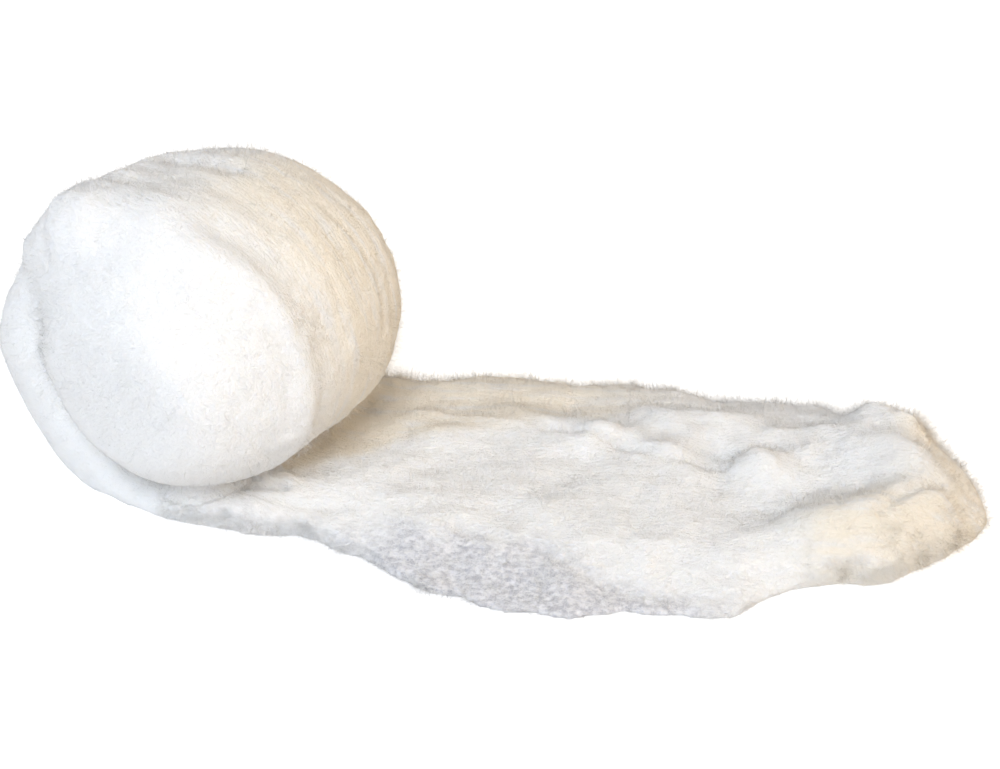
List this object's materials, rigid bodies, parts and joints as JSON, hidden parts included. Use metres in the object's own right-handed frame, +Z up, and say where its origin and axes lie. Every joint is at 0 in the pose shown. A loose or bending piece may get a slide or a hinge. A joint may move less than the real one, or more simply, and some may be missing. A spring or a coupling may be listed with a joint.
{
  "type": "cotton snow batting roll",
  "caption": "Strip of fluffy white batting, mostly wound in a soft roll, with its free end pulled out flat and thinned along one side.",
  "frame": {"origin": "middle of the bounding box's underside, on the surface that the strip lies on", "axes": "+Z up; +X from the roll to the free tip of the strip; +Y towards the strip's far side"},
  "size_m": [0.5634, 0.2616, 0.1874],
  "materials": {
    "cotton": "matte, loose white fibre"
  },
  "bodies": {
    "root": {"cotton_batting": "cotton"}
  },
  "joints": []
}
